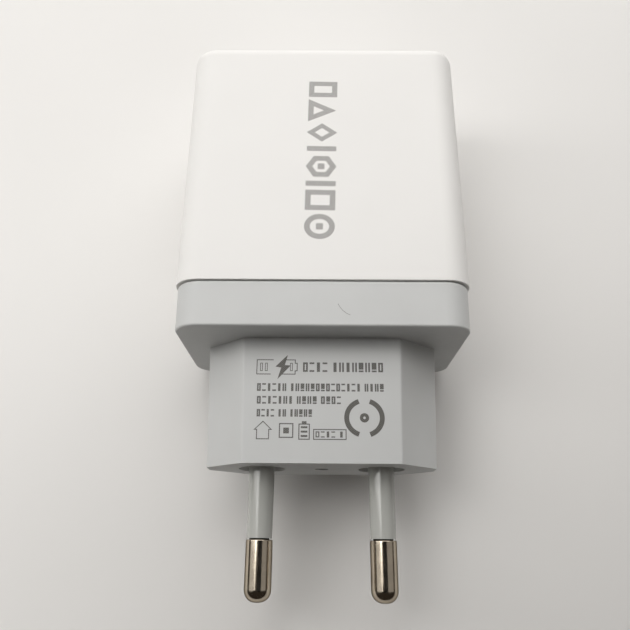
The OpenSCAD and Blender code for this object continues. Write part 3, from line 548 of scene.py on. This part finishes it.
def electrolytic(node, sleeve, stripe):
    """A can in a printed sleeve: a pale stripe down one side, a bare top and tinned legs."""
    finish = Finish(node + "_finish", sleeve, 0.3, Coat_Weight=0.2)
    tree = finish.tree
    low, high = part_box(node)
    radius = (high.x - low.x) / 2
    middle = (low + high) / 2
    stripe_reach = 0.78 * radius
    dash_share = 0.6
    bare_depth = 0.7 * MM
    finish.shade(noise(tree, 3 * MM), 0.85, 1.15)
    side = within(tree, ANYWHERE, (middle.x - stripe_reach, None, None))
    finish.over(side, colour=stripe)
    dashes = calculated(tree, "GREATER_THAN", stripes(tree, 2.6 * MM, turn=(0, math.pi / 2, 0)), dash_share)
    finish.over(calculated(tree, "MULTIPLY", side, dashes), colour=sleeve)
    top = within(tree, (None, None, high.z - bare_depth), ANYWHERE)
    finish.over(top, colour=(0.70, 0.70, 0.71), roughness=0.35, metallic=1.0)
    legs = within(tree, ANYWHERE, (None, None, board_top))
    finish.over(legs, **TIN)
    finish.bump(noise(tree, 0.8 * MM), 0.006 * MM)
    return finish


def choke():
    """Ferrite drum with the copper of its winding between the flanges."""
    finish = ferrite()
    finish.material.name = "choke_finish"
    tree = finish.tree
    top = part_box("input_choke")[1].z
    flange = 1.5 * MM
    turns = stripes(tree, 0.45 * MM, turn=(0, math.pi / 2, 0))
    winding = within(tree, (None, None, board_top + flange), (None, None, top - flange))
    finish.over(winding, colour=(0.60, 0.22, 0.07), roughness=0.25, metallic=0.8)
    finish.shade(turns, 0.75, 1.1)
    finish.bump(calculated(tree, "MULTIPLY", winding, turns), 0.08 * MM)
    finish.over(within(tree, ANYWHERE, (None, None, board_top)), **TIN)
    return finish


# Code bands of the fuse resistor: place along it from its middle, in millimetres, and colour
CODE_BANDS = (
    (-2.4, (0.02, 0.02, 0.02)),
    (-1.2, (0.35, 0.04, 0.02)),
    (0.0, (0.02, 0.02, 0.02)),
    (2.2, (0.55, 0.36, 0.08)),
)


def fuse():
    """Coated resistor body with code bands and tinned leads."""
    node = "fuse_resistor"
    finish = Finish(node + "_finish", (0.11, 0.22, 0.15), 0.4)
    tree = finish.tree
    low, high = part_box(node)
    middle = (low + high) / 2
    half_band = 0.3 * MM
    half_body = 4.1 * MM
    finish.shade(noise(tree, 0.5 * MM, detail=3.0), 0.85, 1.1)
    for offset, colour in CODE_BANDS:
        centre = middle.y + offset * MM
        band = within(tree, (None, centre - half_band, None), (None, centre + half_band, None))
        finish.over(band, colour=colour)
    body = within(tree, (None, middle.y - half_body, None), (None, middle.y + half_body, None))
    finish.over(inverse(tree, body), **TIN)
    finish.bump(noise(tree, 0.3 * MM), 0.01 * MM)
    return finish


def chip_resistors():
    """Black tops between tinned ends."""
    node = "chip_resistors"
    finish = resin(node + "_finish")
    low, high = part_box(node)
    middle = (low.x + high.x) / 2
    half_film = 0.66 * MM
    film = within(finish.tree, (middle - half_film, None, None), (middle + half_film, None, None))
    finish.over(inverse(finish.tree, film), **TIN)
    return finish


def blue_epoxy():
    """Dipped disc in shiny resin, with bare legs."""
    bare_legs = 1.0 * MM
    finish = Finish("blue_epoxy", (0.03, 0.12, 0.42), 0.22, Coat_Weight=0.4)
    finish.shade(noise(finish.tree, 1.0 * MM, detail=3.0), 0.85, 1.12)
    finish.bump(noise(finish.tree, 0.7 * MM), 0.02 * MM)
    finish.over(within(finish.tree, ANYWHERE, (None, None, board_top + bare_legs)), **TIN)
    return finish


def bobbin():
    finish = resin("bobbin_finish")
    finish.over(within(finish.tree, ANYWHERE, (None, None, board_top)), **TIN)
    return finish


def header():
    """Black header body with tinned pins."""
    finish = resin("header_finish")
    near_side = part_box("board_header")[0].y
    body_depth = 1.95 * MM
    body_height = 2.46 * MM
    body = within(finish.tree, (None, None, board_top),
                  (None, near_side + body_depth, board_top + body_height))
    finish.over(inverse(finish.tree, body), **TIN)
    return finish


# Chips as node: (length of the black body in millimetres, axis that the leads stand out along)
CHIPS = {
    "bridge_rectifier": (4.0, 1),
    "controller_chip": (3.9, 1),
    "optocoupler": (4.0, 1),
    "output_diode": (4.4, 0),
    "charge_id_chip": (1.7, 2),
}

# Cans as name: (colour of the sleeve, colour of its stripe)
CANS = {
    "input_capacitor": ((0.016, 0.020, 0.034), (0.45, 0.46, 0.50)),
    "output_capacitor": ((0.020, 0.060, 0.032), (0.55, 0.50, 0.24)),
}


def dress_nodes():
    """Gives every CAD node its finish; pieces of the same stuff share one."""
    grey = cap_plastic()
    steel = brushed_steel()
    gold = gold_plate()
    board = fibreglass()
    tongue = tongue_plastic()
    nickel = nickel_plate()
    sleeve = sleeve_plastic()
    finishes = {
        "main_housing": white_plastic(), "base_cap": grey, "pin_retainer": grey,
        "left_pin": nickel, "right_pin": nickel,
        "left_pin_sleeve": sleeve, "right_pin_sleeve": sleeve,
        "retainer_screws": steel, "contact_tails": gold,
        "live_lead": lead_insulation("brown_lead", (0.14, 0.05, 0.02)),
        "neutral_lead": lead_insulation("blue_lead", (0.03, 0.10, 0.36)),
        "main_board": board, "usb_board": board,
        "fuse_resistor": fuse(), "input_choke": choke(), "chip_resistors": chip_resistors(),
        "transformer_core": ferrite(), "transformer_bobbin": bobbin(),
        "transformer_winding": winding_tape(), "y_capacitor": blue_epoxy(),
        "board_header": header(), "insulating_card": fish_paper(),
    }
    for node, (length, axis) in CHIPS.items():
        finishes[node] = chip(node, length * MM, axis)
    for can, (sleeve_colour, stripe_colour) in CANS.items():
        for number in (1, 2):
            node = f"{can}_{number}"
            finishes[node] = electrolytic(node, sleeve_colour, stripe_colour)
    for number in (1, 2, 3):
        finishes[f"port_{number}_shell"] = steel
        finishes[f"port_{number}_insulator"] = tongue
        finishes[f"port_{number}_contacts"] = gold
    for node, finish in finishes.items():
        dress(node, finish)


# ---- Print: thin solid marks laid on the mouldings --------------------------------------------

# The print reaches this far above and below the face that it lies on
PRINT_THICK = 0.006 * MM

# A ray down on to a face starts at this height
RAY_TOP = 1.0

# Below this cosine a corner of a stroke is blunted
MITRE_LIMIT = 0.4


class Print:
    """Marks drawn in millimetres on a face of a CAD node, looking down on it from +Z."""

    def __init__(self, name, node, slot, origin=(0, 0), turn=0.0):
        self.name = name
        self.mesh = bmesh.new()
        self.slot = slot
        self.surface = BVHTree.FromObject(nodes[node], bpy.context.evaluated_depsgraph_get())
        self.origin = origin
        self.turn = turn

    def _point(self, place, height):
        """A drawn point on the face, lifted by height."""
        cosine, sine = math.cos(self.turn), math.sin(self.turn)
        x = (self.origin[0] + place[0] * cosine - place[1] * sine) * MM
        y = (self.origin[1] + place[0] * sine + place[1] * cosine) * MM
        hit = self.surface.ray_cast(Vector((x, y, RAY_TOP)), DOWN)[0]
        return self.mesh.verts.new((x, y, hit.z + height))

    def shape(self, outline):
        """A filled outline, anticlockwise."""
        low = [self._point(p, -PRINT_THICK) for p in outline]
        high = [self._point(p, PRINT_THICK) for p in outline]
        self.mesh.faces.new(high)
        self.mesh.faces.new(low[::-1])
        for i in range(len(outline)):
            j = (i + 1) % len(outline)
            self.mesh.faces.new((low[i], low[j], high[j], high[i]))

    def block(self, x, y, width, height):
        """A filled rectangle from its lower left corner."""
        self.shape([(x, y), (x + width, y), (x + width, y + height), (x, y + height)])

    def stroke(self, path, width, closed=False):
        """A line of even width with mitred corners."""
        left, right = [], []
        count = len(path)
        for i, point in enumerate(path):
            here = Vector(point)
            before = Vector(path[(i - 1) % count]) if closed or i else None
            after = Vector(path[(i + 1) % count]) if closed or i < count - 1 else None
            into = (here - before).normalized() if before is not None else None
            out = (after - here).normalized() if after is not None else None
            into, out = into or out, out or into
            along = (into + out).normalized()
            reach = width / 2 / max(along.dot(out), MITRE_LIMIT)
            side = Vector((-along.y, along.x)) * reach
            left.append(here + side)
            right.append(here - side)
        rows = [[self._point(p, h) for p in (a, b)] for a, b in zip(left, right)
                for h in (-PRINT_THICK, PRINT_THICK)]
        low, high = rows[0::2], rows[1::2]
        for i in range(count if closed else count - 1):
            j = (i + 1) % count
            self.mesh.faces.new((high[i][0], high[i][1], high[j][1], high[j][0]))
            self.mesh.faces.new((low[j][0], low[j][1], low[i][1], low[i][0]))
            self.mesh.faces.new((low[i][0], high[i][0], high[j][0], low[j][0]))
            self.mesh.faces.new((high[i][1], low[i][1], low[j][1], high[j][1]))
        if not closed:
            self.mesh.faces.new((low[0][0], low[0][1], high[0][1], high[0][0]))
            self.mesh.faces.new((high[-1][0], high[-1][1], low[-1][1], low[-1][0]))

    def frame(self, x, y, width, height, line):
        """A rectangle drawn as a line; the sizes are over the line's outside."""
        left, right = x + line / 2, x + width - line / 2
        low, high = y + line / 2, y + height - line / 2
        self.stroke([(left, low), (right, low), (right, high), (left, high)], line, closed=True)

    def arc(self, centre, radius_x, radius_y, start, end, line, steps=24):
        """Part of an ellipse between two angles in degrees."""
        closed = abs(end - start) >= 360
        count = steps if closed else steps + 1
        angles = [math.radians(start + (end - start) * i / steps) for i in range(count)]
        self.stroke([(centre[0] + radius_x * math.cos(a), centre[1] + radius_y * math.sin(a))
                     for a in angles], line, closed)

    def make(self, finish):
        """Turns the marks into a piece that rides on the charger."""
        bmesh.ops.recalc_face_normals(self.mesh, faces=self.mesh.faces)
        mesh = bpy.data.meshes.new(self.name)
        self.mesh.to_mesh(mesh)
        self.mesh.free()
        mesh.materials.append(finish.done())
        piece = bpy.data.objects.new(self.name, mesh)
        bpy.context.scene.collection.objects.link(piece)
        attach(piece, CHARGER)


def ink(name, colour, pale, cover):
    """Marking laid down in fine slanted lines, so that some of the moulding shows between them."""
    finish = Finish(name, colour, 0.5)
    tree = finish.tree
    lines = stripes(tree, 0.24 * MM, turn=(0, 0, math.radians(50)), distortion=0.3)
    gaps = calculated(tree, "GREATER_THAN", lines, cover)
    finish.over(gaps, colour=pale)
    finish.shade(noise(tree, 0.35 * MM, detail=3.0), 0.9, 1.08)
    finish.bump(lines, 0.003 * MM)
    return finish


def polygon_path(centre, radius_x, radius_y, sides, start):
    """Corners of an even polygon, the first at the start angle in degrees."""
    angles = [math.radians(start + 360 * i / sides) for i in range(sides)]
    return [(centre[0] + radius_x * math.cos(a), centre[1] + radius_y * math.sin(a)) for a in angles]


# The row of figures up the case: its start, its lean in degrees, and the figures' line and height
FIGURES_START = (-0.60, 33.5)
FIGURES_LEAN = -1.1
FIGURE_LINE = 0.9
FIGURE_TALL = 4.85
FIGURE_DOT = 1.1


def case_figures(finish):
    """Eight plain figures up the front of the case, each with its start and its size along the row."""
    p = Print("case_figures", "main_housing", "white_plastic", origin=FIGURES_START,
              turn=math.radians(FIGURES_LEAN))
    line = FIGURE_LINE
    half = FIGURE_TALL / 2

    def dot(middle):
        p.block(-FIGURE_DOT / 2, middle - FIGURE_DOT / 2, FIGURE_DOT, FIGURE_DOT)

    start, size = 0.0, 4.45
    p.arc((0, start + size / 2), half - line / 2, (size - line) / 2, 0, 360, line, steps=48)
    dot(start + size / 2)
    for start, size in ((5.15, 3.7), (27.3, 3.25)):
        p.frame(-half, start, FIGURE_TALL, size, line)
    for start, size in ((9.6, 0.95), (16.3, 0.95)):
        p.block(-half, start, FIGURE_TALL, size)
    start, size = 11.1, 4.45
    hexagon = polygon_path((0, start + size / 2), half - line / 2, (size - line) / 2, 6, 0)
    p.stroke(hexagon, line, closed=True)
    dot(start + size / 2)
    start, size = 18.1, 3.8
    inset, fine_line = 0.6 * line, 0.85 * line
    diamond = polygon_path((0, start + size / 2), half - inset, size / 2 - inset, 4, 0)
    p.stroke(diamond, fine_line, closed=True)
    start, size = 22.3, 4.4
    inset, tip_inset = 0.7 * line, 1.3 * line
    triangle = [(-half + line / 2, start + inset), (half - tip_inset, start + size / 2),
                (-half + line / 2, start + size - inset)]
    p.stroke(triangle, line, closed=True)
    p.make(finish)


def row_of_cells(p, x, y, height, words, line, pitch):
    """A row of small plain cells of five kinds, for a label's print; words holds each group's count."""
    kinds = 5
    width = pitch * 0.74
    gap = pitch * 0.55
    inset = width * 0.18
    step = 0
    for count in words:
        for _ in range(count):
            kind = (step * 7 + step // 3) % kinds
            if kind == 0:
                p.frame(x, y, width, height, line)
            elif kind == 1:
                p.block(x, y, line, height)
                p.block(x + width - line, y, line, height)
            elif kind == 2:
                p.block(x, y, width, line)
                p.block(x, y + height - line, width, line)
            elif kind == 3:
                p.block(x, y, width, line)
                p.block(x, y + 1.5 * line, width, height - 1.5 * line)
            else:
                p.block(x + inset, y, width - 2 * inset, height)
            x += pitch
            step += 1
        x += gap


# Rows on the boss as (x, y, height, cells in each group, line, pitch), in millimetres
SMALL_PRINT = (
    (-2.95, 13.75, 1.5, (4, 8), 0.27, 1.0),
    (-9.9, 10.72, 1.2, (6, 14, 4), 0.24, 0.775),
    (-9.85, 8.77, 1.17, (7, 4, 4), 0.24, 0.80),
    (-9.8, 6.82, 1.12, (4, 2, 5), 0.23, 0.70),
)


def boss_small_print(finish):
    """The rows of cells on the boss."""
    p = Print("boss_small_print", "base_cap", "grey_plastic")
    for row in SMALL_PRINT:
        row_of_cells(p, *row)
    p.make(finish)


def battery_gauge(p, line):
    """An outline with a terminal, open in the middle for the bolt, and three narrow cells."""
    low, high = 13.37, 15.63
    left, right = -10.03, -4.15
    terminal, terminal_low, terminal_high = -3.85, 13.9, 15.1
    p.stroke([(-7.5, high), (left, high), (left, low), (-7.9, low)], line)
    p.stroke([(-5.6, high), (right, high), (right, terminal_high), (terminal, terminal_high),
              (terminal, terminal_low), (right, terminal_low), (right, low), (-6.2, low)], line)
    for x in (-9.55, -8.8, -4.95):
        p.frame(x, 13.85, 0.42, 1.3, 0.11)


def battery_cell(p):
    """An upright cell with a terminal and three bars."""
    p.frame(-3.5, 3.4, 1.7, 2.4, 0.16)
    p.block(-3.0, 5.8, 0.7, 0.35)
    for y in (3.8, 4.45, 5.1):
        p.block(-3.15, y, 1.0, 0.3)


def boss_icons(finish):
    """Battery gauge, outline of a house, nested square, battery cell and a boxed row."""
    thin = 0.14
    p = Print("boss_icons", "base_cap", "grey_plastic")
    battery_gauge(p, thin)
    floor_line, eaves, ridge = 3.5, 4.9, 6.1
    house = [(-9.7, floor_line), (-7.9, floor_line), (-7.9, eaves), (-7.55, eaves), (-8.8, ridge),
             (-10.05, eaves), (-9.7, eaves)]
    p.stroke(house, thin, closed=True)
    p.frame(-6.4, 3.65, 2.15, 2.2, 0.17)
    p.block(-5.75, 4.32, 0.85, 0.86)
    battery_cell(p)
    p.frame(-1.3, 3.4, 4.95, 1.6, 0.15)
    row_of_cells(p, -0.95, 3.75, 0.9, (4, 1), 0.17, 0.78)
    p.make(finish)


def boss_bold_marks(finish):
    """The bolt across the gauge, and two bold arcs round a dot."""
    p = Print("boss_bold_marks", "base_cap", "grey_plastic")
    bolt = [(-6.85, 12.55), (-4.85, 14.75), (-5.75, 14.8), (-5.3, 16.45), (-7.2, 14.55), (-6.3, 14.4)]
    p.shape(bolt)
    centre = (6.35, 6.72)
    half_arc = 72
    for middle in (0, 180):
        p.arc(centre, 2.66, 2.60, middle - half_arc, middle + half_arc, 0.74, steps=28)
    p.arc(centre, 0.45, 0.45, 0, 360, 0.5, steps=16)
    p.make(finish)


def band_scuff(finish):
    """A fine curved scuff on the band."""
    p = Print("band_scuff", "base_cap", "grey_plastic")
    curve = [(2.3, 22.75), (2.6, 22.2), (3.05, 21.65), (3.6, 21.2), (4.15, 20.95)]
    p.stroke(curve, 0.07)
    p.make(finish)


def make_print():
    """All the marks, each with its ink; the case's is paler than the boss's."""
    case_ink = ink("case_marking", (0.27, 0.262, 0.255), (0.52, 0.51, 0.50), 0.64)
    boss_ink = ink("boss_marking", (0.085, 0.080, 0.074), (0.20, 0.20, 0.19), 0.8)
    bold_ink = ink("boss_bold_marking", (0.085, 0.080, 0.072), (0.16, 0.155, 0.145), 0.8)
    case_figures(case_ink)
    boss_small_print(boss_ink)
    boss_icons(boss_ink)
    boss_bold_marks(bold_ink)
    band_scuff(ink("scuff_marking", (0.16, 0.16, 0.155), (0.25, 0.25, 0.245), 0.7))


# ---- Everything in order ---------------------------------------------------------------------

bpy.context.scene.view_settings.view_transform = "Standard"
make_camera()
make_studio()
make_floor()
for name, place, width, length, power in SOFTBOXES:
    make_softbox(name, place, width, length, power)
make_card("overhead_card", CAMERA_PLACE + CARD_OFFSET, CARD_WIDTH, CARD_LENGTH, CARD_TONE)
dress_nodes()
make_print()
